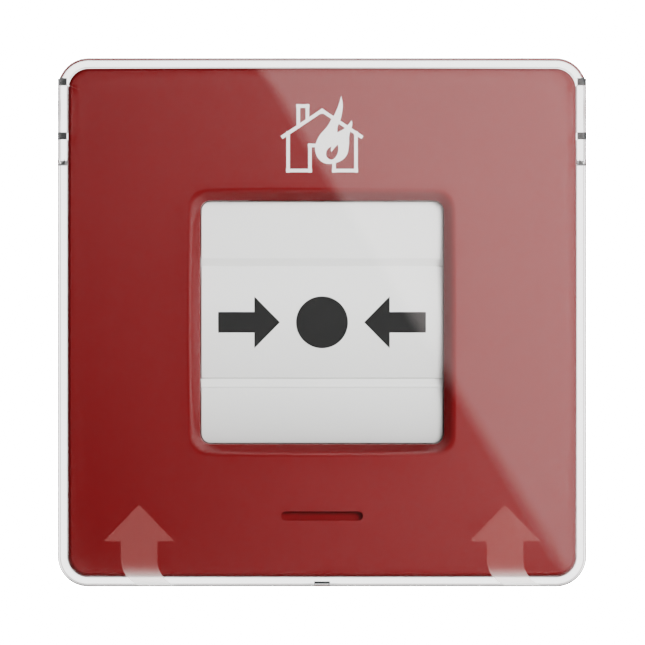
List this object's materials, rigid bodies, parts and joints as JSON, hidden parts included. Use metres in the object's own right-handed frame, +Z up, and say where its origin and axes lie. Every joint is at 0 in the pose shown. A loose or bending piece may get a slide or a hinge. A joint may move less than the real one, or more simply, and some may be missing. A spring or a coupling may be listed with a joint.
{
  "type": "manual call point",
  "caption": "Square wall-mounted fire alarm call point: domed housing, clear hinged lid, resettable press plate with hinged leaves, drop flag, reset cam and battery board.",
  "frame": {"origin": "centre of the wall plate's back face, in the wall plane", "axes": "the front faces -Y, +Z is up, +X is to the right seen from the front, +Y points into the wall"},
  "size_m": [0.103, 0.052, 0.103],
  "materials": {
    "wall_plate_red": "matte red moulding",
    "rear_red": "satin red moulding",
    "seal_rubber": "soft black seal",
    "cover_red": "smooth satin-gloss red moulding",
    "frame_grey": "matte dark grey moulding",
    "board_green": "solder-masked glass-fibre board",
    "shield_metal": "tinned shield can",
    "chip_black": "moulded component body",
    "cell_sleeve": "plain shrink sleeve over a steel can",
    "spring_steel": "bright spring steel",
    "moulded_black": "matte black moulding",
    "screw_steel": "zinc-plated",
    "plate_white": "satin white moulding",
    "leaf_white": "satin white moulding",
    "flag_yellow": "satin yellow moulding",
    "cam_white": "satin white moulding",
    "pawl_grey": "grey acetal moulding",
    "lid_clear": "polished clear polycarbonate"
  },
  "bodies": {
    "housing": {"mounting_plate": "wall_plate_red", "rear_housing": "rear_red", "gasket": "seal_rubber", "front_cover": "cover_red", "guide_frame": "frame_grey", "circuit_board": "board_green", "radio_module": "shield_metal", "control_chip": "chip_black", "tamper_switch": "chip_black", "power_switch": "chip_black", "antenna": "spring_steel", "battery_left": "cell_sleeve", "battery_right": "cell_sleeve", "battery_cradle": "moulded_black", "contact_left": "spring_steel", "contact_right": "spring_steel", "cover_screw_lower_left": "screw_steel", "cover_screw_lower_right": "screw_steel", "cover_screw_upper_left": "screw_steel", "cover_screw_upper_right": "screw_steel", "locking_screw": "screw_steel", "micro_switch": "chip_black", "return_spring": "spring_steel"},
    "lid": {"lid": "lid_clear"},
    "press_plate": {"press_plate": "plate_white"},
    "upper_leaf": {"upper_leaf": "leaf_white"},
    "lower_leaf": {"lower_leaf": "leaf_white"},
    "alarm_flag": {"alarm_flag": "flag_yellow"},
    "switch_lever": {"switch_lever": "spring_steel"},
    "reset_cam": {"reset_cam": "cam_white"},
    "latch_pawl": {"latch_pawl": "pawl_grey"},
    "tamper_plunger": {"tamper_plunger": "plate_white"},
    "power_button": {"power_button": "moulded_black"}
  },
  "joints": [
    {"name": "lid_hinge", "type": "hinge", "parent": "housing", "child": "lid", "pos_m": [0, -0.0387, 0.0417], "axis": [-1, 0, 0], "range_deg": [0, 90]},
    {"name": "plate_press", "type": "slide", "parent": "housing", "child": "press_plate", "axis": [0, 1, 0], "range_m": [0, 0.0035], "deforming": ["return_spring"]},
    {"name": "upper_leaf_hinge", "type": "hinge", "parent": "press_plate", "child": "upper_leaf", "pos_m": [0, -0.0449, 0.011], "axis": [1, 0, 0], "range_deg": [0, 17]},
    {"name": "lower_leaf_hinge", "type": "hinge", "parent": "press_plate", "child": "lower_leaf", "pos_m": [0, -0.0449, -0.011], "axis": [-1, 0, 0], "range_deg": [0, 17]},
    {"name": "flag_drop", "type": "slide", "parent": "housing", "child": "alarm_flag", "axis": [0, 0, -1], "range_m": [0, 0.0043]},
    {"name": "switch_lever_hinge", "type": "hinge", "parent": "housing", "child": "switch_lever", "pos_m": [0.0245, -0.0349, 0], "axis": [0, 0, -1], "range_deg": [0, 10.5]},
    {"name": "reset_turn", "type": "hinge", "parent": "housing", "child": "reset_cam", "pos_m": [0, -0.036, -0.0362], "axis": [0, 0, 1], "range_deg": [0, 90], "stiffness_Nm_per_rad": 0.004},
    {"name": "pawl_swing", "type": "hinge", "parent": "housing", "child": "latch_pawl", "pos_m": [0, -0.0366, -0.022], "axis": [0, -1, 0], "range_deg": [0, 9.5]},
    {"name": "tamper_press", "type": "slide", "parent": "housing", "child": "tamper_plunger", "axis": [0, -1, 0], "range_m": [0, 0.0015], "stiffness_N_per_m": 300},
    {"name": "power_press", "type": "slide", "parent": "housing", "child": "power_button", "axis": [0, -1, 0], "range_m": [0, 0.0008], "stiffness_N_per_m": 500}
  ],
  "couplings": [
    {"joint": "upper_leaf_hinge", "follows": "plate_press", "rad_per_m": 80},
    {"joint": "lower_leaf_hinge", "follows": "plate_press", "rad_per_m": 80},
    {"joint": "flag_drop", "follows": "plate_press", "ratio": 1.2},
    {"joint": "switch_lever_hinge", "follows": "plate_press", "rad_per_m": 49.8},
    {"joint": "pawl_swing", "follows": "reset_turn", "ratio": 0.1}
  ]
}
